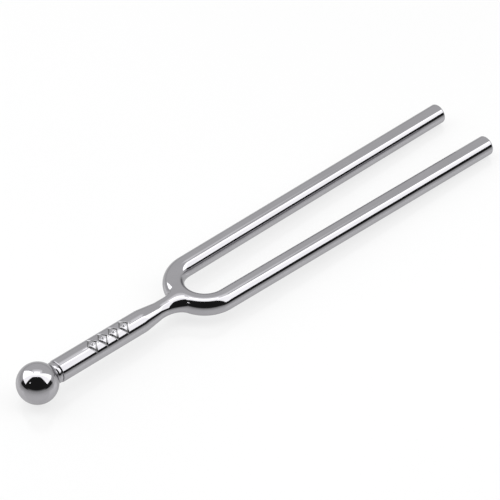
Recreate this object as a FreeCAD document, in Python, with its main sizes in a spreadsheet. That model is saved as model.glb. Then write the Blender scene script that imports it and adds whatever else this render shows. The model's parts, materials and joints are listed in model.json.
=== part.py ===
"""A round-prong tuning fork with a ball foot, as a parametric FreeCAD document.

Every piece is drawn in the fork's own frame: the ball's centre is the origin, +X runs along the stem
towards the prong ends, +Y is the left prong's side and the fork lies flat in the XY plane. Placements
then lay the whole fork down on the plane Z = 0, where it rests on the ball and on both prong ends.
Lengths are in millimetres and angles in degrees.

The pieces, one STEP file each in parts/:
    yoke         the bend of the round bar, a short straight run of each arm, and the boss for the stem
    left_prong   the straight bar that vibrates, on the +Y side
    right_prong  its mirror twin on the -Y side
    stem         the turned handle, necked at the yoke, with a spigot at each end and engraved marks
    ball_foot    the bored ball with its short collar, pressed on the stem's rear spigot
"""
import FreeCAD, Part

import math
import os

import Sketcher
from FreeCAD import Vector

# Driving dimensions: alias, value, what it is.
DIMENSIONS = (
    ("bar_diameter", 5.0, "round bar of the prongs and the bend"),
    ("bend_radius", 7.2, "radius of the bend's centre line"),
    ("bend_centre", 48.0, "from the ball's centre to the bend's centre"),
    ("prong_splay", 0.7, "angle by which each prong leans outwards"),
    ("arm_run", 5.0, "straight run of each arm between the bend and its prong"),
    ("prong_length", 78.2, "one prong, from the arm to its end"),
    ("prong_end_round", 0.5, "rounding of a prong's end edge"),
    ("flex_gap", 0.04, "clearance between an arm and its prong, which lets the prong flex"),
    ("boss_start", 35.8, "from the ball's centre to the face where the stem meets the yoke"),
    ("neck_diameter", 4.0, "stem and boss where they meet"),
    ("boss_fillet", 3.5, "fillet between the boss and the bend"),
    ("stem_diameter", 5.4, "straight part of the stem"),
    ("stem_start", 5.3, "from the ball's centre to the stem's rear shoulder"),
    ("taper_start", 29.6, "from the ball's centre to the start of the stem's taper"),
    ("stem_chamfer", 0.3, "chamfer of the stem's rear shoulder"),
    ("taper_blend", 6.0, "radius that eases the stem into its taper"),
    ("yoke_spigot_diameter", 2.4, "stem's front spigot and its socket in the yoke"),
    ("yoke_spigot_length", 4.2, "stem's front spigot"),
    ("ball_spigot_diameter", 3.0, "stem's rear spigot and its bore in the ball"),
    ("ball_spigot_length", 4.4, "stem's rear spigot"),
    ("spigot_chamfer", 0.3, "lead-in chamfer of both spigots"),
    ("bore_clearance", 0.4, "depth of each blind bore beyond its spigot"),
    ("drill_point", 118.0, "point angle of the drill that made the bores"),
    ("ball_diameter", 9.5, "ball foot"),
    ("collar_diameter", 5.1, "collar between the ball and the stem"),
    ("collar_chamfer", 0.15, "chamfer of the collar's end"),
    ("mark_count", 4, "engraved lozenges in a row along the stem"),
    ("mark_start", 14.8, "from the ball's centre to the first lozenge's centre"),
    ("mark_pitch", 2.95, "from one lozenge to the next"),
    ("mark_length", 2.3, "one lozenge, along the stem"),
    ("mark_width", 3.2, "one lozenge, across the stem"),
    ("mark_turn", 14.5, "angle by which the row is turned from the top towards the right prong's side"),
    ("mark_line", 0.36, "width of the engraved line"),
    ("mark_depth", 0.12, "depth of the engraved line"),
)

# The fork's own frame, laid down so that the ball and both prong ends touch Z = 0 and the bounding box
# is centred on X = 0. A prong touches where its flank meets the rounding of its end.
BALL_RISE = "(sizes.ball_diameter / 2 - sizes.prong_end_round)"
FLANK_DROP = "(sizes.bar_diameter / 2 - sizes.prong_end_round)"
TOUCH_X = "(sizes.bend_centre + sizes.arm_run + sizes.prong_length - sizes.prong_end_round)"
REST_TILT = (
    f"(asin({BALL_RISE} / sqrt({TOUCH_X} ^ 2 + {FLANK_DROP} ^ 2)) - atan({FLANK_DROP} / {TOUCH_X}))"
)
HALF_WAY = (
    "(sizes.bend_centre + sizes.arm_run + sizes.prong_length - sizes.ball_diameter / 2) / 2"
)
FORK_FRAME = (
    f"create(<<placement>>; create(<<vector>>; 0 - {HALF_WAY}; 0; sizes.ball_diameter / 2);"
    f" create(<<rotation>>; create(<<vector>>; 0; 1; 0); {REST_TILT}))"
)
BEND_START = "(sizes.bend_centre - sizes.bend_radius)"


def make_sheet(doc):
    """The spreadsheet of driving dimensions, with one aliased cell for each."""
    sheet = doc.addObject("Spreadsheet::Sheet", "sizes")
    for row, (alias, value, meaning) in enumerate(DIMENSIONS, start=1):
        sheet.set(f"A{row}", alias)
        sheet.set(f"B{row}", str(value))
        sheet.set(f"C{row}", meaning)
        sheet.setAlias(f"B{row}", alias)
    doc.recompute()
    return sheet


def size_of(holder, expression):
    """The number that an expression of the sheet's cells has now."""
    value = holder.evalExpression(expression)
    return float(getattr(value, "Value", value))


def new_body(doc, name):
    """An empty body whose label is the piece's name."""
    body = doc.addObject("PartDesign::Body", name)
    body.Label = name
    return body


def origin_plane(body, role):
    """One of the body's own origin planes, by its role."""
    return next(f for f in body.Origin.OriginFeatures if f.Role == role)


def new_sketch(body, role, name):
    """An empty sketch on one of the body's origin planes."""
    sketch = body.newObject("Sketcher::SketchObject", name)
    sketch.AttachmentSupport = (origin_plane(body, role), [""])
    sketch.MapMode = "FlatFace"
    return sketch


def edge_centred_at(shape, point):
    """The name of the edge whose centre is nearest to a point."""
    distances = [(edge.CenterOfGravity - point).Length for edge in shape.Edges]
    return f"Edge{distances.index(min(distances)) + 1}"


def bind(sketch, constraint, expression):
    """Adds a dimension to a sketch and binds it to an expression of the sheet's cells."""
    index = sketch.addConstraint(constraint)
    sketch.setExpression(f"Constraints[{index}]", expression)


def place_point(sketch, geometry, point, x, y):
    """Holds one point of a sketch at (x, y), each an expression, or None where it lies on that axis."""
    origin = (-1, 1)
    for kind, expression, axis in (("DistanceX", x, -2), ("DistanceY", y, -1)):
        if expression is None:
            sketch.addConstraint(Sketcher.Constraint("PointOnObject", geometry, point, axis))
        else:
            value = size_of(sketch, expression)
            bind(sketch, Sketcher.Constraint(kind, *origin, geometry, point, value), expression)


def draw_outline(sketch, corners):
    """A closed outline through corners, each a pair of expressions, with None for zero."""
    points = [Vector(*(0 if e is None else size_of(sketch, e) for e in corner), 0) for corner in corners]
    first = sketch.GeometryCount
    for here, there in zip(points, points[1:] + points[:1]):
        sketch.addGeometry(Part.LineSegment(here, there), False)
    count = len(corners)
    for i in range(count):
        line, following = first + i, first + (i + 1) % count
        sketch.addConstraint(Sketcher.Constraint("Coincident", line, 2, following, 1))
    for i, (x, y) in enumerate(corners):
        place_point(sketch, first + i, 1, x, y)


def turn(body, name, corners, feature="PartDesign::Revolution"):
    """Turns an outline, drawn as (distance along the fork, radius), about the fork's axis."""
    sketch = new_sketch(body, "XY_Plane", name + "_outline")
    draw_outline(sketch, corners)
    turned = body.newObject(feature, name)
    turned.Profile = sketch
    turned.ReferenceAxis = (sketch, ["H_Axis"])
    turned.Angle = 360
    sketch.Visibility = False
    return turned


def bore_outline(mouth, direction, length, diameter):
    """A blind bore's outline: a straight wall from the mouth, then the drill's cone."""
    floor = f"{mouth} {direction} ({length} + sizes.bore_clearance)"
    cone = f"{diameter} / 2 / tan(sizes.drill_point * 1 deg / 2)"
    return (
        (mouth, None),
        (mouth, f"{diameter} / 2"),
        (floor, f"{diameter} / 2"),
        (f"{floor} {direction} {cone}", None),
    )


def make_yoke(doc):
    """The bent bar with its two short arms, the filleted boss for the stem, and the boss's socket."""
    body = new_body(doc, "yoke")

    path = new_sketch(body, "XY_Plane", "arm_path")
    centre = Vector(size_of(path, "sizes.bend_centre"), 0, 0)
    radius = size_of(path, "sizes.bend_radius")
    splay = math.radians(size_of(path, "sizes.prong_splay"))
    circle = Part.Circle(centre, Vector(0, 0, 1), radius)
    path.addGeometry(Part.ArcOfCircle(circle, math.pi / 2 + splay, math.pi), False)
    bend_end = centre + Vector(-math.sin(splay), math.cos(splay), 0) * radius
    run = Vector(math.cos(splay), math.sin(splay), 0) * size_of(path, "sizes.arm_run")
    path.addGeometry(Part.LineSegment(bend_end, bend_end + run), False)
    place_point(path, 0, 3, "sizes.bend_centre", None)
    bind(path, Sketcher.Constraint("Radius", 0, radius), "sizes.bend_radius")
    path.addConstraint(Sketcher.Constraint("PointOnObject", 0, 2, -1))
    path.addConstraint(Sketcher.Constraint("Tangent", 0, 1, 1, 1))
    bind(path, Sketcher.Constraint("Distance", 1, run.Length), "sizes.arm_run")
    bind(path, Sketcher.Constraint("Angle", -1, 1, 1, 1, splay), "sizes.prong_splay * 1 deg")

    section = new_sketch(body, "XZ_Plane", "bar_section")
    bar_radius = size_of(section, "sizes.bar_diameter / 2")
    middle = Vector(size_of(section, BEND_START), 0, 0)
    section.addGeometry(Part.Circle(middle, Vector(0, 0, 1), bar_radius), False)
    place_point(section, 0, 3, BEND_START, None)
    bind(section, Sketcher.Constraint("Radius", 0, bar_radius), "sizes.bar_diameter / 2")

    half = body.newObject("PartDesign::AdditivePipe", "left_half")
    half.Profile = section
    half.Spine = (path, ["Edge1", "Edge2"])
    doc.recompute()
    both = body.newObject("PartDesign::Mirrored", "both_halves")
    both.Originals = [half]
    both.MirrorPlane = (origin_plane(body, "XZ_Plane"), [""])
    body.Tip = both
    doc.recompute()

    boss = turn(body, "boss", (
        ("sizes.boss_start", None),
        ("sizes.boss_start", "sizes.neck_diameter / 2"),
        (BEND_START, "sizes.neck_diameter / 2"),
        (BEND_START, None),
    ))
    doc.recompute()

    fillet = body.newObject("PartDesign::Fillet", "boss_blend")
    fillet.Base = (boss, root_edges(boss.Shape, size_of(boss, BEND_START)))
    fillet.setExpression("Radius", "sizes.boss_fillet")
    doc.recompute()

    turn(
        body,
        "socket",
        bore_outline("sizes.boss_start", "+", "sizes.yoke_spigot_length", "sizes.yoke_spigot_diameter"),
        "PartDesign::Groove",
    )
    body.setExpression("Placement", FORK_FRAME)
    return body


def root_edges(shape, bend_start):
    """Names of the edges where the boss's cylinder runs into the bend."""
    names = []
    for i, edge in enumerate(shape.Edges, start=1):
        kinds = {type(face.Surface) for face in shape.ancestorsOfType(edge, Part.Face)}
        meets_bend = Part.Cylinder in kinds and kinds - {Part.Cylinder, Part.Plane}
        if meets_bend and edge.BoundBox.XMax < bend_start:
            names.append(f"Edge{i}")
    return names


def make_prong(doc, name, side):
    """One straight prong with a rounded end, on the side whose sign is given."""
    body = new_body(doc, name)
    section = new_sketch(body, "YZ_Plane", name + "_section")
    radius = size_of(section, "sizes.bar_diameter / 2")
    section.addGeometry(Part.Circle(Vector(), Vector(0, 0, 1), radius), False)
    section.addConstraint(Sketcher.Constraint("Coincident", 0, 3, -1, 1))
    bind(section, Sketcher.Constraint("Radius", 0, radius), "sizes.bar_diameter / 2")
    bar = body.newObject("PartDesign::Pad", name + "_bar")
    bar.Profile = section
    bar.setExpression("Length", "sizes.prong_length - sizes.flex_gap")
    doc.recompute()

    end = Vector(size_of(bar, "sizes.prong_length - sizes.flex_gap"), 0, 0)
    rounding = body.newObject("PartDesign::Fillet", name + "_end_round")
    rounding.Base = (bar, [edge_centred_at(bar.Shape, end)])
    rounding.setExpression("Radius", "sizes.prong_end_round")

    turned = f"{side} * sizes.prong_splay * 1 deg"
    root = (
        f"create(<<placement>>; create(<<vector>>; sizes.bend_centre; 0; 0);"
        f" create(<<rotation>>; create(<<vector>>; 0; 0; 1); {turned}))"
        f" * create(<<placement>>; create(<<vector>>; sizes.arm_run + sizes.flex_gap;"
        f" {side} * sizes.bend_radius; 0); create(<<rotation>>; create(<<vector>>; 0; 0; 1); 0 deg))"
    )
    body.setExpression("Placement", f"{FORK_FRAME} * {root}")
    return body


def make_stem(doc):
    """The turned stem, with the row of lozenges engraved to one depth near its top."""
    blank = new_body(doc, "stem_blank")
    front = "(sizes.boss_start + sizes.yoke_spigot_length)"
    rear = "(sizes.stem_start - sizes.ball_spigot_length)"
    turn(blank, "turned_stem", (
        (rear, None),
        (rear, "sizes.ball_spigot_diameter / 2 - sizes.spigot_chamfer"),
        (f"{rear} + sizes.spigot_chamfer", "sizes.ball_spigot_diameter / 2"),
        ("sizes.stem_start", "sizes.ball_spigot_diameter / 2"),
        ("sizes.stem_start", "sizes.stem_diameter / 2 - sizes.stem_chamfer"),
        ("sizes.stem_start + sizes.stem_chamfer", "sizes.stem_diameter / 2"),
        ("sizes.taper_start", "sizes.stem_diameter / 2"),
        ("sizes.boss_start", "sizes.neck_diameter / 2"),
        ("sizes.boss_start", "sizes.yoke_spigot_diameter / 2"),
        (f"{front} - sizes.spigot_chamfer", "sizes.yoke_spigot_diameter / 2"),
        (front, "sizes.yoke_spigot_diameter / 2 - sizes.spigot_chamfer"),
        (front, None),
    ))
    doc.recompute()
    turned = blank.Tip
    taper_start = Vector(size_of(blank, "sizes.taper_start"), 0, 0)
    blend = blank.newObject("PartDesign::Fillet", "taper_blend")
    blend.Base = (turned, [edge_centred_at(turned.Shape, taper_start)])
    blend.setExpression("Radius", "sizes.taper_blend")
    doc.recompute()

    stem = doc.addObject("Part::Cut", "stem")
    stem.Label = "stem"
    stem.Base = blank
    stem.Tool = make_mark_cutter(doc)
    stem.setExpression("Placement", FORK_FRAME)
    return stem


def make_mark_cutter(doc):
    """The cutter of the engraved lozenges: a row of lozenge rings, kept where they meet a thin shell."""
    rings = new_body(doc, "mark_rings")
    sketch = new_sketch(rings, "XY_Plane", "lozenge")
    for line_share in ("", " - sizes.mark_line"):
        along = f"(sizes.mark_length / 2{line_share})"
        across = f"(sizes.mark_width / 2{line_share} * sizes.mark_width / sizes.mark_length)"
        draw_outline(sketch, (
            (f"sizes.mark_start - {along}", None),
            ("sizes.mark_start", f"0 - {across}"),
            (f"sizes.mark_start + {along}", None),
            ("sizes.mark_start", across),
        ))
    ring = rings.newObject("PartDesign::Pad", "lozenge_ring")
    ring.Profile = sketch
    ring.setExpression("Length", "sizes.stem_diameter")
    doc.recompute()
    row = rings.newObject("PartDesign::LinearPattern", "lozenge_row")
    row.Originals = [ring]
    row.Direction = (origin_plane(rings, "X_Axis"), [""])
    row.setExpression("Length", "sizes.mark_pitch * (sizes.mark_count - 1)")
    row.setExpression("Occurrences", "sizes.mark_count")
    rings.Tip = row
    rings.setExpression(
        "Placement",
        "create(<<placement>>; create(<<vector>>; 0; 0; 0);"
        " create(<<rotation>>; create(<<vector>>; 1; 0; 0); sizes.mark_turn * 1 deg))",
    )

    shell = new_body(doc, "mark_shell")
    inner = "sizes.stem_diameter / 2 - sizes.mark_depth"
    outer = "sizes.stem_diameter / 2 + sizes.mark_depth"
    turn(shell, "thin_shell", (
        ("sizes.stem_start", inner),
        ("sizes.stem_start", outer),
        ("sizes.taper_start", outer),
        ("sizes.taper_start", inner),
    ))
    cutter = doc.addObject("Part::Common", "mark_cutter")
    cutter.Base = rings
    cutter.Tool = shell
    return cutter


def make_ball_foot(doc):
    """The ball with its short collar, bored from the collar's end for the stem's rear spigot."""
    body = new_body(doc, "ball_foot")
    ball = body.newObject("PartDesign::AdditiveSphere", "ball")
    ball.setExpression("Radius", "sizes.ball_diameter / 2")
    doc.recompute()
    turn(body, "collar", (
        (None, None),
        (None, "sizes.collar_diameter / 2"),
        ("sizes.stem_start - sizes.collar_chamfer", "sizes.collar_diameter / 2"),
        ("sizes.stem_start", "sizes.collar_diameter / 2 - sizes.collar_chamfer"),
        ("sizes.stem_start", None),
    ))
    doc.recompute()
    turn(
        body,
        "bore",
        bore_outline("sizes.stem_start", "-", "sizes.ball_spigot_length", "sizes.ball_spigot_diameter"),
        "PartDesign::Groove",
    )
    body.setExpression("Placement", FORK_FRAME)
    return body


def check_document(doc, pieces):
    """Stops with a message if an object failed to build, or a piece isn't one valid solid."""
    failed = [o.Label for o in doc.Objects if {"Invalid", "Error"} & set(o.State)]
    if failed:
        raise RuntimeError(f"these objects failed to build: {failed}")
    for piece in pieces:
        shape = piece.Shape
        if shape.isNull() or not shape.isValid() or len(shape.Solids) != 1:
            raise RuntimeError(f"{piece.Label} isn't one valid solid")


def main():
    doc = FreeCAD.newDocument("tuning_fork")
    make_sheet(doc)
    pieces = [
        make_yoke(doc),
        make_prong(doc, "left_prong", 1),
        make_prong(doc, "right_prong", -1),
        make_stem(doc),
        make_ball_foot(doc),
    ]
    doc.recompute()
    check_document(doc, pieces)
    os.makedirs("parts", exist_ok=True)
    for piece in pieces:
        piece.Shape.exportStep(f"parts/{piece.Label}.step")
        print(f"{piece.Label}: {piece.Shape.Volume:.2f} mm3")


main()
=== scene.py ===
"""The looks of the tuning fork: exact bright-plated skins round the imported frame, a light tent, a camera.

Shapes are worked out in the fork's own frame, in metres: the ball's centre is the origin, +X runs along the
stem towards the prong ends, +Y is the left prong's side and +Z is up, square to the flat of the fork. The
frame's joints, mounts and boxes say where that frame lies and how large each piece is.
"""

import json
import math

import bpy
import numpy as np
from mathutils import Matrix, Vector


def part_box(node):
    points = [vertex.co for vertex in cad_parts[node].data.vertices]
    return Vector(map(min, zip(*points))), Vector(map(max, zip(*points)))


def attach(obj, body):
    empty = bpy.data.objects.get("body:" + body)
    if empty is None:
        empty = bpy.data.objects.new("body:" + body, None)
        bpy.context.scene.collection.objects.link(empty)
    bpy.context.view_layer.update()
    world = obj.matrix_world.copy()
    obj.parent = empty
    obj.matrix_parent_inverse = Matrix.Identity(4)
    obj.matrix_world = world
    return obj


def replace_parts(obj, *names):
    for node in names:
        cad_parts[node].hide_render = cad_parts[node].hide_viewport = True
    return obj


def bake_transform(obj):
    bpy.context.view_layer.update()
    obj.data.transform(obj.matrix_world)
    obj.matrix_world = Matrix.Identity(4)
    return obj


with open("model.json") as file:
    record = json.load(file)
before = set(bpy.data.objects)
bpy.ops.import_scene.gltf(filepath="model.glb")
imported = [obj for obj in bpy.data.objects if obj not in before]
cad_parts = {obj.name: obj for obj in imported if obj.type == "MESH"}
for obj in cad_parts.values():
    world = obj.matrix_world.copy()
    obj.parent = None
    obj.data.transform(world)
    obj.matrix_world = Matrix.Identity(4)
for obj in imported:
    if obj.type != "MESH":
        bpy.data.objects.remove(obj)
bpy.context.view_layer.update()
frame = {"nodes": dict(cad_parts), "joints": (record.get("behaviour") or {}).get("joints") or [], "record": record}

MM = 0.001


# ---------------------------------------------------------------- the fork's frame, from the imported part

def unit(vectors):
    """Vectors scaled to length 1, along the last axis."""
    vectors = np.asarray(vectors, float)
    return vectors / np.linalg.norm(vectors, axis=-1, keepdims=True)


mounts = {mount["name"]: mount for mount in frame["record"]["mounts"]}
joints = {joint["name"]: joint for joint in frame["joints"]}
ALONG = np.array((1.0, 0.0, 0.0))
ACROSS = np.array((0.0, 1.0, 0.0))
UP = np.array((0.0, 0.0, 1.0))
FORK_X = -unit(mounts["ball_foot"]["axis"])
FORK_Z = unit(joints["left_prong_flex"]["axis"])
AXES = np.stack((FORK_X, np.cross(FORK_Z, FORK_X), FORK_Z))
BALL_END = np.array(mounts["ball_foot"]["pos_m"])       # the ball's pole, away from the prongs
BALL_R = BALL_END[2] / (1 - FORK_X[2])                  # the ball stands on z = 0
BALL_CENTRE = BALL_END + BALL_R * FORK_X


def to_row(points):
    """Points of the fork's frame, in the row's frame."""
    return BALL_CENTRE + np.asarray(points, float) @ AXES


def to_fork(points):
    """Points of the row's frame, in the fork's frame."""
    return (np.asarray(points, float) - BALL_CENTRE) @ AXES.T


def node_reach(node, origin, direction):
    """How far a CAD node reaches from origin along a direction: its least and its greatest distance."""
    points = to_fork([vertex.co for vertex in frame["nodes"][node].data.vertices])
    distances = (points - origin) @ direction
    return distances.min(), distances.max()


BAR_R = mounts["left_prong_end"]["dims"]["r_mm"] * MM
STEM_R = (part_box("stem")[1].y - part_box("stem")[0].y) / 2
BALL_JOINT = node_reach("ball_foot", 0, ALONG)[1]       # where the ball's collar meets the stem
NECK = node_reach("yoke", 0, ALONG)[0]                  # where the stem meets the yoke
PRONG_AXIS = AXES @ unit(mounts["left_prong_end"]["axis"])
SPLAY = math.atan2(PRONG_AXIS[1], PRONG_AXIS[0])
OUTWARDS = np.array((-PRONG_AXIS[1], PRONG_AXIS[0], 0.0))
SPLIT = to_fork(joints["left_prong_flex"]["pos_m"])     # middle of the left prong's root
PRONG_LENGTH = node_reach("left_prong", SPLIT, PRONG_AXIS)[1]

# Sizes that the frame doesn't state.
BEND_R = 7.2 * MM            # centre line of the bend
NECK_R = 2.02 * MM
FLARE_START = 34.6 * MM      # where the neck begins to widen into the bend
FLARE_PHI = math.radians(86) # how far the flare reaches round the bar
FLARE_ALPHA = (math.radians(17.5), math.radians(26.5))  # and round the bend, on the left and on the right
FLARE_LEAVES = (1.8, 1.2)    # how stiffly the flare leaves the neck, on the left and on the right
FLARE_MEETS = (1.3, 0.7)     # and how stiffly it meets the bend
FLARE_SQUARE = 0.12          # how far the flare's outline on the bend is from round
END_ROUND = 0.5 * MM         # edge of a prong's end
COLLAR_R = 2.55 * MM
COLLAR_CROWN = 0.09 * MM     # how far the collar swells between its edges
COLLAR_EDGE = 0.05 * MM
COLLAR_FILLET = 0.3 * MM     # between the ball and its collar
STEM_ROUND = 0.2 * MM        # edge of the stem's shoulder
TAPER_START = 29.2 * MM
TAPER_START_EASE = 8 * MM    # radius that eases the straight part into the taper
TAPER_END = 34.2 * MM
TAPER_END_EASE = 6 * MM      # and the taper into the neck

ARM_RUN = (SPLIT[1] - BEND_R * math.cos(SPLAY)) / math.sin(SPLAY)
BEND_CENTRE = SPLIT - ARM_RUN * PRONG_AXIS - BEND_R * OUTWARDS


# ---------------------------------------------------------------- meshes with exact normals

def sheet(points, normals):
    """A grid of points with its normals, for build_piece."""
    points = np.asarray(points, float)
    return points, unit(np.broadcast_to(normals, points.shape))


def ring_of(angles, axis_side, axis_up):
    """Unit vectors at angles round an axis."""
    angles = np.asarray(angles)[:, None]
    return np.cos(angles) * axis_side + np.sin(angles) * axis_up


def lathe(profile, normals, angles, origin=(0, 0, 0), axis=ALONG, side=ACROSS, up=UP):
    """A smooth stretch of a turned surface, from rows of (distance, radius) and normals (along, out)."""
    profile = np.asarray(profile, float)
    normals = np.asarray(normals, float)
    ring = ring_of(angles, side, up)
    points = origin + profile[:, None, :1] * axis + profile[:, None, 1:] * ring
    return sheet(points, normals[:, None, :1] * axis + normals[:, None, 1:] * ring)


def straight(start, end, steps=1):
    """A straight stretch of profile and its normals, with the solid on the axis's side."""
    start = np.array(start, float)
    end = np.array(end, float)
    rows = start + np.linspace(0, 1, steps + 1)[:, None] * (end - start)
    normal = np.array((start[1] - end[1], end[0] - start[0]))
    return rows, np.broadcast_to(unit(normal), rows.shape)


def arc(centre, radius, first, last, steps, hollow=False):
    """A round stretch of profile and its normals; angles in degrees from the axis's direction."""
    angles = np.radians(np.linspace(first, last, steps + 1))
    rays = np.stack((np.cos(angles), np.sin(angles)), axis=-1)
    return np.asarray(centre) + radius * rays, (-rays if hollow else rays)


def face_corners(points, normals, offset):
    """A grid's faces as point numbers, each with its corners' normals, turned the way its normals point."""
    rows, columns = points.shape[:2]
    numbers = offset + np.arange(rows * columns).reshape(rows, columns)
    corners = (numbers[:-1, :-1], numbers[1:, :-1], numbers[1:, 1:], numbers[:-1, 1:])
    faces = np.stack(corners, axis=-1).reshape(-1, 4)
    flat_points = points.reshape(-1, 3)
    flat_normals = normals.reshape(-1, 3)
    local = faces - offset
    diagonal_a = flat_points[local[:, 2]] - flat_points[local[:, 0]]
    diagonal_b = flat_points[local[:, 3]] - flat_points[local[:, 1]]
    facing = np.cross(diagonal_a, diagonal_b)
    backwards = np.einsum("ij,ij->i", facing, flat_normals[local].mean(axis=1)) < 0
    faces[backwards] = faces[backwards][:, ::-1]
    return faces, flat_normals[faces - offset]


WELD = 1e-8     # points closer than this are one point


def build_piece(name, sheets, body=None, groove=None):
    """Weld sheets into one mesh with their exact normals; groove(points) tells where lines are engraved."""
    offset = 0
    all_faces = []
    all_normals = []
    for points, normals in sheets:
        faces, corner_normals = face_corners(points, normals, offset)
        all_faces.append(faces)
        all_normals.append(corner_normals)
        offset += points.shape[0] * points.shape[1]
    points = np.concatenate([points.reshape(-1, 3) for points, _ in sheets])
    keys = np.rint(points / WELD).astype(np.int64)
    _, first, welded = np.unique(keys, axis=0, return_index=True, return_inverse=True)
    faces = welded.reshape(-1)[np.concatenate(all_faces)]
    normals = np.concatenate(all_normals) @ AXES
    polygons = []
    loop_normals = []
    for face, corner_normals in zip(faces.tolist(), normals):
        kept = [i for i in range(4) if face[i] != face[i - 1]]
        if len(kept) > 2:
            polygons.append([face[i] for i in kept])
            loop_normals.extend(corner_normals[kept])
    mesh = bpy.data.meshes.new(name)
    mesh.from_pydata(to_row(points[first]), [], polygons)
    mesh.polygons.foreach_set("use_smooth", [True] * len(polygons))
    mesh.normals_split_custom_set(np.array(loop_normals))
    if groove is not None:
        layer = mesh.attributes.new("groove", "FLOAT", "POINT")
        layer.data.foreach_set("value", groove(points[first]).astype(np.float32))
    piece = bpy.data.objects.new(name, mesh)
    bpy.context.scene.collection.objects.link(piece)
    piece.data.materials.append(chrome)
    if body:
        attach(piece, body)
    return piece


# ---------------------------------------------------------------- materials

def new_nodes(owner):
    """An empty node tree, and a function that adds one node with its settings and its links."""
    owner.use_nodes = True
    tree = owner.node_tree
    tree.nodes.clear()

    def add(kind, inputs=(), **settings):
        node = tree.nodes.new(kind)
        for key, value in settings.items():
            setattr(node, key, value)
        for socket, value in dict(inputs).items():
            if isinstance(value, bpy.types.NodeSocket):
                tree.links.new(value, node.inputs[socket])
            else:
                node.inputs[socket].default_value = value
        return node

    return add


def grey(level, tint=(1.0, 1.0, 1.0)):
    """A grey as a colour socket wants it."""
    return (level * tint[0], level * tint[1], level * tint[2], 1.0)


def stretched(add, scale):
    """Object coordinates in metres, scaled per axis."""
    place = add("ShaderNodeTexCoord").outputs["Object"]
    return add("ShaderNodeMapping", {"Vector": place, "Scale": scale}).outputs["Vector"]


def noise(add, scale, detail=2.0, roughness=0.5):
    """A noise value from 0 to 1 with features of 1 / scale metres along each axis."""
    inputs = {"Vector": stretched(add, scale), "Scale": 1.0, "Detail": detail, "Roughness": roughness}
    return add("ShaderNodeTexNoise", inputs).outputs["Fac"]


def remap(add, value, low, high, to_low, to_high, smooth=False):
    """A value carried from one range to another."""
    inputs = {"Value": value, "From Min": low, "From Max": high, "To Min": to_low, "To Max": to_high}
    steps = "SMOOTHSTEP" if smooth else "LINEAR"
    return add("ShaderNodeMapRange", inputs, interpolation_type=steps).outputs["Result"]


def mix(add, factor, colour_a, colour_b):
    """One colour faded into another."""
    node = add("ShaderNodeMix", data_type="RGBA")
    tree = node.id_data
    tree.links.new(factor, node.inputs[0])
    for socket, colour in ((node.inputs[6], colour_a), (node.inputs[7], colour_b)):
        if isinstance(colour, bpy.types.NodeSocket):
            tree.links.new(colour, socket)
        else:
            socket.default_value = colour
    return node.outputs[2]


def bumped(add, height, distance, normal=None):
    """A bump whose height 1 stands for distance metres."""
    inputs = {"Height": height, "Distance": distance, "Strength": 1.0}
    if normal is not None:
        inputs["Normal"] = normal
    return add("ShaderNodeBump", inputs).outputs["Normal"]


PLATE_TINT = (1.0, 0.985, 1.03)
PLATE_GREYS = (0.375, 0.4)
PIT_GREY = 0.2
# painted shade: the colour inside the engraved lines is darkened to this grey, standing for shade in the grooves
GROOVE_PAINTED_SHADE = 0.2
POLISH = (0.045, 0.075)     # least and greatest roughness of the plating
GROOVE_DULLNESS = 0.25      # what an engraved line adds to that
WAVE_HEIGHT = 0.012 * MM
SCRATCH_HEIGHT = 0.0001 * MM
EDGE_GREY = 0.78            # how bright the plating reflects at grazing angles


def chrome_material():
    """Bright plating: slow polishing waves, fine scratches along the bar, a few pits, dull engraving with painted
    shade in its lines.
    """
    material = bpy.data.materials.new("bright_plate")
    add = new_nodes(material)
    waves = noise(add, (90, 260, 260), 1.0)
    scratches = noise(add, (300, 9000, 9000), 3.0, 0.6)
    clouds = noise(add, (140, 240, 240), 3.0)
    cells = add("ShaderNodeTexVoronoi", {"Vector": stretched(add, (330, 330, 330)), "Scale": 1.0})
    dot = remap(add, cells.outputs["Distance"], 0.0, 0.03, 1.0, 0.0, smooth=True)
    chance = add("ShaderNodeSeparateColor", {"Color": cells.outputs["Color"]}).outputs["Red"]
    rare = remap(add, chance, 0.88, 0.9, 0.0, 1.0)
    pits = add("ShaderNodeMath", {0: dot, 1: rare}, operation="MULTIPLY").outputs[0]
    groove = add("ShaderNodeAttribute", attribute_name="groove").outputs["Fac"]
    dark, pale = (grey(level, PLATE_TINT) for level in PLATE_GREYS)
    plate = mix(add, remap(add, clouds, 0.3, 0.7, 0.0, 1.0), dark, pale)
    pitted = mix(add, pits, plate, grey(PIT_GREY))
    # painted shade: where the groove attribute says a line is engraved, the colour is darkened to a flat grey
    colour = mix(add, groove, pitted, grey(GROOVE_PAINTED_SHADE))
    smooth = remap(add, clouds, 0.3, 0.7, *POLISH)
    dull = {0: groove, 1: GROOVE_DULLNESS, 2: smooth}
    roughness = add("ShaderNodeMath", dull, operation="MULTIPLY_ADD").outputs[0]
    surface = bumped(add, waves, WAVE_HEIGHT)
    surface = bumped(add, scratches, SCRATCH_HEIGHT, surface)
    inputs = {"Base Color": colour, "Metallic": 1.0, "Roughness": roughness, "Normal": surface,
              "Specular Tint": grey(EDGE_GREY)}
    shader = add("ShaderNodeBsdfPrincipled", inputs)
    add("ShaderNodeOutputMaterial", {"Surface": shader.outputs["BSDF"]})
    return material


def floor_material():
    """A faintly uneven white floor that is lit from below, under a clear lacquer."""
    material = bpy.data.materials.new("pale_floor")
    add = new_nodes(material)
    colour = mix(add, noise(add, (9, 9, 9)), grey(0.17), grey(0.19))
    inputs = {"Base Color": colour, "Roughness": 0.8, "Specular IOR Level": 0.0,
              "Coat Weight": 1.0, "Coat Roughness": 0.2, "Coat IOR": 1.5,
              "Emission Color": grey(1.0), "Emission Strength": 0.78}
    shader = add("ShaderNodeBsdfPrincipled", inputs)
    add("ShaderNodeOutputMaterial", {"Surface": shader.outputs["BSDF"]})
    return material


chrome = chrome_material()


# ---------------------------------------------------------------- profiles and pieces

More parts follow.
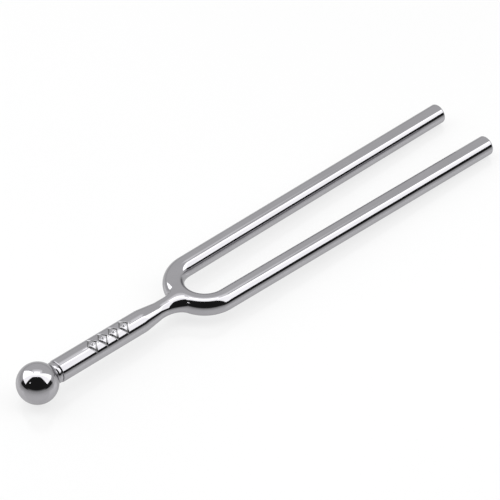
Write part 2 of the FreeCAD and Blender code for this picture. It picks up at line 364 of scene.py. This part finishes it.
def eased(corners, steps=8):
    """A smooth profile through corners (distance, radius, rounding), and its normals."""
    spots = [np.array(corner[:2], float) for corner in corners]
    headings = [unit(after - before) for before, after in zip(spots, spots[1:])]
    left = np.array(((0.0, 1.0), (-1.0, 0.0)))
    rows = [spots[0]]
    normals = [headings[0] @ left]
    for corner, spot, before, after in zip(corners[1:-1], spots[1:-1], headings, headings[1:]):
        turn = math.atan2(before[0] * after[1] - before[1] * after[0], before @ after)
        radius = math.copysign(corner[2], turn)
        centre = spot - abs(radius * math.tan(turn / 2)) * before + radius * (before @ left)
        for angle in np.linspace(0, turn, steps + 1):
            spin = np.array(((math.cos(angle), math.sin(angle)), (-math.sin(angle), math.cos(angle))))
            normals.append(before @ spin @ left)
            rows.append(centre - radius * normals[-1])
    rows.append(spots[-1])
    normals.append(headings[-1] @ left)
    return np.array(rows), np.array(normals)


PATCH_ALPHA = math.radians(36)      # half the patch that the flare grows from, round the bend
PATCH_PHI = math.radians(100)       # and round the bar
PATCH_STEPS = 36
patch_alphas = np.linspace(-PATCH_ALPHA, PATCH_ALPHA, PATCH_STEPS + 1)
patch_phis = np.linspace(-PATCH_PHI, PATCH_PHI, PATCH_STEPS + 1)
outer_alphas = np.linspace(PATCH_ALPHA, math.pi / 2 - SPLAY, 25)
outer_phis = np.linspace(PATCH_PHI, 2 * math.pi - PATCH_PHI, 33)
bar_phis = np.concatenate((patch_phis, outer_phis[1:]))


def bend_surface(alpha, phi):
    """Points and normals of the bend: alpha goes round it from its heel, phi round the bar from outside."""
    alpha, phi = np.broadcast_arrays(alpha, phi)
    outwards = np.sin(alpha)[..., None] * ACROSS - np.cos(alpha)[..., None] * ALONG
    normals = np.cos(phi)[..., None] * outwards + np.sin(phi)[..., None] * UP
    return BEND_CENTRE + BEND_R * outwards + BAR_R * normals, normals


def by_side(values, psi):
    """A value at angles psi round the neck, from its values on the left and on the right."""
    left, right = values
    return right + (left - right) * (1 + np.cos(psi)) / 2


def flare_foot(psi):
    """Where the flare meets the bend, as the bend's two angles."""
    alpha = by_side(FLARE_ALPHA, psi) * np.cos(psi) * (1 + FLARE_SQUARE * np.sin(psi) ** 2)
    phi = FLARE_PHI * np.sin(psi) * (1 + FLARE_SQUARE * np.cos(psi) ** 2)
    return alpha, phi


def flare_points(psi, t):
    """Points of the flare at angles psi round the neck and at t from 0 on the neck to 1 on the bend."""
    psi, t = np.broadcast_arrays(psi, t)
    t = t[..., None]
    start = FLARE_START * ALONG + NECK_R * (np.cos(psi)[..., None] * ACROSS + np.sin(psi)[..., None] * UP)
    alpha, phi = flare_foot(psi)
    end = bend_surface(alpha, phi)[0]
    beyond = bend_surface(alpha * 1.001, phi * 1.001)[0]
    reach = np.linalg.norm(end - start, axis=-1, keepdims=True)
    rise = t * t * (3 - 2 * t)
    leave = t * (1 - t) ** 2 * by_side(FLARE_LEAVES, psi)[..., None] * reach * ALONG
    arrive = t * t * (t - 1) * by_side(FLARE_MEETS, psi)[..., None] * reach * unit(beyond - end)
    return start + rise * (end - start) + leave + arrive


def flare_sheet(psi, t):
    """A part of the flare with its normals."""
    step = 1e-4
    around = flare_points(psi + step, t) - flare_points(psi - step, t)
    along = flare_points(psi, t + step) - flare_points(psi, t - step)
    return sheet(flare_points(psi, t), np.cross(along, around) * -1)


def flare_split(psi):
    """Where the flare crosses the joint of stem and yoke, as t, for each psi."""
    t = np.linspace(0, 1, 801)[:, None]
    along = flare_points(psi, t)[..., 0]
    return np.array([np.interp(NECK, column, t[:, 0]) for column in along.T])


def mirrored(vector, side):
    """A vector of the left prong's side, or its mirror image for side -1."""
    return np.array(vector) * (1, side, 1)


def arm_sheets(side):
    """The straight run from the bend to the split, and its end face."""
    axis = mirrored(PRONG_AXIS, side)
    outwards = mirrored(OUTWARDS, side)
    place = {"origin": mirrored(SPLIT, side), "axis": axis, "side": outwards}
    run = lathe(*straight((-ARM_RUN, BAR_R), (0, BAR_R), 3), bar_phis, **place)
    face = lathe(*straight((0, BAR_R), (0, 0), 2), bar_phis, **place)
    return [run, face]


def joint_face(ring):
    """The flat face of stem or yoke at their joint, from its outline."""
    centre = NECK * ALONG
    return centre + np.linspace(1, 0, 3)[:, None, None] * (ring - centre)


def boss_sheets():
    """The yoke's part of the flare, the bend around it as far as the patch's edge, and the joint's face."""
    psi = np.radians(np.linspace(-45, 315, 4 * PATCH_STEPS + 1))
    split = flare_split(psi)
    flare = flare_sheet(psi, split + np.linspace(0, 1, 25)[:, None] * (1 - split))
    side = np.full(PATCH_STEPS, 1.0)
    edge_alpha = np.concatenate((side * PATCH_ALPHA, patch_alphas[:0:-1], -side * PATCH_ALPHA,
                                 patch_alphas[:-1], (PATCH_ALPHA,)))
    edge_phi = np.concatenate((patch_phis[:-1], side * PATCH_PHI, patch_phis[:0:-1],
                               -side * PATCH_PHI, (-PATCH_PHI,)))
    alpha, phi = flare_foot(psi)
    t = np.linspace(0, 1, 13)[:, None]
    around = bend_surface(alpha + t * (edge_alpha - alpha), phi + t * (edge_phi - phi))
    flare[0][-1] = around[0][0]
    return [flare, sheet(*around), sheet(joint_face(flare[0][0]), -ALONG)]


def yoke():
    """The bend, both arms and the boss as one piece."""
    columns = patch_alphas, outer_alphas, -outer_alphas
    sheets = [sheet(*bend_surface(alphas[:, None], outer_phis)) for alphas in columns]
    sheets += [sheet(*bend_surface(alphas[:, None], patch_phis)) for alphas in columns[1:]]
    sheets += arm_sheets(1) + arm_sheets(-1) + boss_sheets()
    return build_piece("yoke_bend", sheets, "handle")


def prong(name, side):
    """A prong's bar with its rounded end."""
    place = {"origin": mirrored(SPLIT, side), "axis": mirrored(PRONG_AXIS, side),
             "side": mirrored(OUTWARDS, side)}
    rounding = PRONG_LENGTH - END_ROUND
    stretches = (
        straight((0, 0), (0, BAR_R), 2),
        straight((0, BAR_R), (rounding, BAR_R), 40),
        arc((rounding, BAR_R - END_ROUND), END_ROUND, 90, 0, 8),
        straight((PRONG_LENGTH, BAR_R - END_ROUND), (PRONG_LENGTH, 0), 3),
    )
    piece = build_piece(name + "_bar", [lathe(*stretch, bar_phis, **place) for stretch in stretches])
    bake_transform(piece)
    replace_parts(piece, name)
    return piece


MARK_COUNT = 4
MARK_START = 14.8 * MM
MARK_PITCH = 2.95 * MM
MARK_HALF = (1.15 * MM, 1.6 * MM)   # a lozenge's half length, and its half width seen straight on
MARK_TURN = math.radians(14.5)      # from the top towards the right prong's side
MARK_FACING = math.cos(MARK_TURN) * UP - math.sin(MARK_TURN) * ACROSS
MARK_ACROSS = math.cos(MARK_TURN) * ACROSS + math.sin(MARK_TURN) * UP
LINE_HALF = 0.2 * MM
LINE_DEPTH = 0.15 * MM
DOT_R = 0.3 * MM                    # punched dot in the middle of each lozenge
BURR = 0.02 * MM                    # height of the rim that the tool throws up beside a line
BURR_AT = 1.35                      # where that rim is highest, in half widths from the line's middle
BURR_HALF = 0.5                     # and how wide it is, in the same measure
DENSE = 0.04 * MM                   # the mesh's spacing where the marks are
DENSE_MARGIN = 1.5 * MM             # how far that dense mesh goes past the first and last mark
DENSE_REACH = math.radians(46)      # and how far round the stem, to each side of the marks
MARKED_END = 28 * MM                # where the straight part ends and the taper's profile begins


def mark_profile(points):
    """How deep the engraved lines are at points of the stem, from 0 to 1, and how high their burr is."""
    along = points[..., 0] - MARK_START
    number = np.clip(np.round(along / MARK_PITCH), 0, MARK_COUNT - 1)
    u = np.abs(along - number * MARK_PITCH) / MARK_HALF[0]
    v = np.abs(points @ MARK_ACROSS) / MARK_HALF[1]
    distance = np.abs(u + v - 1) * MARK_HALF[0] * MARK_HALF[1] / math.hypot(*MARK_HALF)
    to_dot = np.hypot(u * MARK_HALF[0], v * MARK_HALF[1]) / DOT_R * LINE_HALF
    distance = np.minimum(distance, to_dot)
    ratio = distance / LINE_HALF
    upper = points @ MARK_FACING > 0
    line = np.where(upper, np.clip(1 - ratio ** 2, 0, 1) ** 1.5, 0)
    burr = np.where(upper, np.clip(1 - np.abs(ratio - BURR_AT) / BURR_HALF, 0, 1) ** 2, 0)
    return line, burr


def groove_depth(points):
    """How deep the engraved lines are at points of the stem's skin, from 0 to 1."""
    reach = np.maximum(np.hypot(points[:, 1], points[:, 2]), 0.1 * MM)
    to_skin = np.stack((np.ones(len(points)), STEM_R / reach, STEM_R / reach), axis=-1)
    return mark_profile(points * to_skin)[0]


def marked_stretch(rows, angles):
    """The straight part of the stem with its engraved lozenges cut into it."""
    points, normals = lathe(rows, np.broadcast_to((0.0, 1.0), rows.shape), angles)
    line, burr = mark_profile(points)
    height = BURR * burr - LINE_DEPTH * line
    along_slope = np.gradient(height, rows[:, 0], axis=0)
    round_slope = np.gradient(height, STEM_R * angles, axis=1)
    tangent = np.cross(ALONG, normals)
    tilted = normals - along_slope[..., None] * ALONG - round_slope[..., None] * tangent
    return sheet(points + height[..., None] * normals, tilted)


def stem_angles():
    """Angles round the stem, close together where the marks are."""
    low = math.pi / 2 + MARK_TURN - DENSE_REACH
    high = math.pi / 2 + MARK_TURN + DENSE_REACH
    dense_steps = 2 * round(STEM_R * DENSE_REACH / DENSE)
    dense = np.linspace(low, high, dense_steps + 1)
    return np.concatenate((dense, np.linspace(high, low + 2 * math.pi, 56)[1:]))


def marked_rows(shoulder):
    """The profile of the stem's straight part, with its rows close together where the marks are."""
    first = MARK_START - DENSE_MARGIN
    last = MARK_START + (MARK_COUNT - 1) * MARK_PITCH + DENSE_MARGIN
    behind = np.linspace(shoulder, first, 6)[:-1]
    dense = np.linspace(first, last, round((last - first) / DENSE) + 1)
    ahead = np.linspace(last, MARKED_END, 4)[1:]
    along = np.concatenate((behind, dense, ahead))
    return np.stack((along, np.full(along.shape, STEM_R)), axis=-1)


def stem():
    """The turned stem: rounded shoulder, marked straight part, eased taper, neck, start of the flare."""
    angles = stem_angles()
    shoulder = BALL_JOINT + STEM_ROUND
    taper = eased(((MARKED_END, STEM_R, 0), (TAPER_START, STEM_R, TAPER_START_EASE),
                   (TAPER_END, NECK_R, TAPER_END_EASE), (FLARE_START, NECK_R, 0)))
    stretches = (
        straight((BALL_JOINT, 0), (BALL_JOINT, STEM_R - STEM_ROUND), 2),
        arc((shoulder, STEM_R - STEM_ROUND), STEM_ROUND, 180, 90, 6),
        taper,
    )
    sheets = [lathe(*stretch, angles) for stretch in stretches]
    flare = flare_sheet(angles, np.linspace(0, 1, 9)[:, None] * flare_split(angles))
    sheets += [flare, sheet(joint_face(flare[0][-1]), ALONG)]
    sheets.append(marked_stretch(marked_rows(shoulder), angles))
    return build_piece("stem_turned", sheets, "handle", groove_depth)


def ball_foot():
    """The ball with its crowned collar, joined by a small hollow."""
    base_r = COLLAR_R - COLLAR_CROWN
    hollow_r = base_r + COLLAR_FILLET
    hollow_x = math.sqrt((BALL_R + COLLAR_FILLET) ** 2 - hollow_r ** 2)
    meeting = math.degrees(math.atan2(hollow_r, hollow_x))
    angles = np.radians(np.linspace(0, 360, 97))
    edge = BALL_JOINT - COLLAR_EDGE
    half = (edge - hollow_x) / 2
    crown_r = (half ** 2 + COLLAR_CROWN ** 2) / (2 * COLLAR_CROWN)
    lean = math.degrees(math.asin(half / crown_r))
    stretches = (
        arc((0, 0), BALL_R, 180, meeting, 72),
        arc((hollow_x, hollow_r), COLLAR_FILLET, 180 + meeting, 270, 6, hollow=True),
        arc((hollow_x + half, COLLAR_R - crown_r), crown_r, 90 + lean, 90 - lean, 10),
        straight((edge, base_r), (BALL_JOINT, base_r - COLLAR_EDGE), 1),
        straight((BALL_JOINT, base_r - COLLAR_EDGE), (BALL_JOINT, 0), 2),
    )
    return build_piece("ball_turned", [lathe(*stretch, angles) for stretch in stretches], "handle")


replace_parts(yoke(), "yoke")
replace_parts(stem(), "stem")
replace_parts(ball_foot(), "ball_foot")
prong("left_prong", 1)
prong("right_prong", -1)
for node in frame["nodes"].values():
    node.data.materials.clear()
    node.data.materials.append(chrome)


# ---------------------------------------------------------------- floor, light tent and camera

def floor():
    """A large flat floor."""
    half = 1.6
    mesh = bpy.data.meshes.new("floor")
    corners = [(-half, -half, 0), (half, -half, 0), (half, half, 0), (-half, half, 0)]
    mesh.from_pydata(corners, [], [(0, 1, 2, 3)])
    piece = bpy.data.objects.new("floor", mesh)
    bpy.context.scene.collection.objects.link(piece)
    mesh.materials.append(floor_material())


# The tent stands square to the camera: its horizontal directions towards the camera and to the right.
CAMERA_AZIMUTH = math.radians(-41.6)
CAMERA_ELEVATION = math.radians(42.27)
CAMERA_TARGET = np.array((62.99, 1.52, 0.0)) * MM
CAMERA_DISTANCE = 536.2 * MM
CAMERA_LENS = 167.36
TO_CAMERA = np.array((math.sin(CAMERA_AZIMUTH), -math.cos(CAMERA_AZIMUTH), 0.0))
TO_RIGHT = np.array((math.cos(CAMERA_AZIMUTH), math.sin(CAMERA_AZIMUTH), 0.0))
RADIANCE = 2.25              # of the tent's windows
LAMP_R = 40 * MM
LAMP_RADIANCE = 2.2
LAMP_DISTANCE = 0.8
LAMP_SIDE = math.radians(-45)       # from the camera's direction, to the left
LAMP_RISE = math.radians(37)
CEILING = 900                # millimetres above the fork
SILL_TOP = 140               # where the right window's sills end and it has its full width


def pose_matrix(right, up, back, place):
    """The matrix of a camera or light that looks along -back, from axes and a place in the fork's frame."""
    columns = [Vector(axis @ AXES) for axis in (right, up, back)]
    turn = Matrix(columns).transposed().to_4x4()
    return Matrix.Translation(Vector(to_row(place))) @ turn


def window(name, facing, up, centre, width, height, radiance):
    """A plain bright rectangle; facing is the way that its light goes."""
    light = bpy.data.lights.new(name, "AREA")
    light.shape = "RECTANGLE"
    light.size = width
    light.size_y = height
    light.energy = radiance * math.pi * width * height
    panel = bpy.data.objects.new(name, light)
    bpy.context.scene.collection.objects.link(panel)
    panel.matrix_world = pose_matrix(np.cross(facing, up), up, -facing, centre)


def lamp():
    """A small round lamp in the dark front of the tent, which shows as a dot in the ball."""
    light = bpy.data.lights.new("lamp", "AREA")
    light.shape = "DISK"
    light.size = 2 * LAMP_R
    light.energy = LAMP_RADIANCE * math.pi * math.pi * LAMP_R ** 2
    level = math.cos(LAMP_SIDE) * TO_CAMERA + math.sin(LAMP_SIDE) * TO_RIGHT
    back = math.cos(LAMP_RISE) * level + math.sin(LAMP_RISE) * UP
    lamp_object = bpy.data.objects.new("lamp", light)
    bpy.context.scene.collection.objects.link(lamp_object)
    right = np.cross(UP, level)
    lamp_object.matrix_world = pose_matrix(right, np.cross(back, right), back, LAMP_DISTANCE * back)


def panel(name, facing, up, side, front, height, share=1.0):
    """A window over millimetre ranges; the one of side, front and height that is one number is its plane."""
    spans = {"side": side, "front": front, "height": height}
    middle = {key: np.mean(value) * MM for key, value in spans.items()}
    lengths = {key: np.ptp(value) * MM for key, value in spans.items() if np.ndim(value)}
    centre = middle["side"] * TO_RIGHT + middle["front"] * TO_CAMERA + middle["height"] * UP
    tall = lengths.pop("height") if "height" in lengths else lengths.pop("front")
    width = lengths.popitem()[1]
    window(name, facing, up, centre, width, tall, share * RADIANCE)


def ceiling(name, side, front, share=1.0):
    """A window in the tent's ceiling."""
    panel(name, -UP, TO_CAMERA, side, front, CEILING, share)


def windows():
    """Bright windows to the left, to the right and above, which fade out towards the back."""
    panel("left_window", TO_RIGHT, UP, -330, (-287, 158), (116, 903))
    panel("right_window", -TO_RIGHT, UP, 330, (-150, 185), (SILL_TOP, 903))
    sills = (((60, 150), 127), ((30, 60), 123), ((5, 30), 117), ((-20, 5), 110), ((-150, -20), 105))
    for number, (front, low) in enumerate(sills):
        panel(f"right_sill_{number}", -TO_RIGHT, UP, 330, front, (low, SILL_TOP))
    ceiling("top_window", (-333, 333), (-150, 175))
    ceiling("top_middle", (-230, 230), (-300, -150))
    ceiling("top_corner_left", (-400, -230), (-300, -150), 0.25)
    ceiling("top_corner_right", (230, 400), (-300, -150), 0.25)
    edges = (-300, -360, -480, -600)
    for number, share in enumerate((0.35, 0.24, 0.14)):
        ceiling(f"top_fade_{number}", (-400, 400), edges[number:number + 2], share)


def walls():
    """The tent's walls: dark in front, with a paler foot straight ahead, and grey behind."""
    world = bpy.data.worlds.new("tent_walls")
    bpy.context.scene.world = world
    add = new_nodes(world)
    direction = add("ShaderNodeTexCoord").outputs["Generated"]
    towards = {0: direction, 1: tuple(TO_CAMERA @ AXES)}
    facing = add("ShaderNodeVectorMath", towards, operation="DOT_PRODUCT").outputs["Value"]
    upwards = {0: direction, 1: tuple(UP @ AXES)}
    height = add("ShaderNodeVectorMath", upwards, operation="DOT_PRODUCT").outputs["Value"]
    behind = remap(add, facing, 0.05, -0.15, 0.0, 1.0, smooth=True)
    low = remap(add, height, 0.3, 0.0, 0.0, 1.0, smooth=True)
    foot = remap(add, height, 0.17, 0.0, 0.0, 1.0, smooth=True)
    ahead = remap(add, facing, 0.6, 0.85, 0.0, 1.0, smooth=True)
    glow = add("ShaderNodeMath", {0: foot, 1: ahead}, operation="MULTIPLY").outputs[0]
    front_wall = mix(add, glow, grey(0.022), grey(0.4))
    back_wall = mix(add, low, grey(0.885), grey(0.7))
    colour = mix(add, behind, front_wall, back_wall)
    background = add("ShaderNodeBackground", {"Color": colour, "Strength": 1.0})
    add("ShaderNodeOutputWorld", {"Surface": background.outputs["Background"]})


def camera():
    """A long lens at the photograph's viewing angle."""
    back = math.cos(CAMERA_ELEVATION) * TO_CAMERA + math.sin(CAMERA_ELEVATION) * UP
    place = CAMERA_TARGET + CAMERA_DISTANCE * back
    data = bpy.data.cameras.new("camera")
    data.sensor_width = 36
    data.lens = CAMERA_LENS
    data.clip_start = 0.01
    data.clip_end = 20
    viewer = bpy.data.objects.new("camera", data)
    bpy.context.scene.collection.objects.link(viewer)
    viewer.matrix_world = pose_matrix(TO_RIGHT, np.cross(back, TO_RIGHT), back, place)
    bpy.context.scene.camera = viewer


floor()
windows()
lamp()
walls()
camera()
bpy.context.scene.view_settings.view_transform = "Standard"
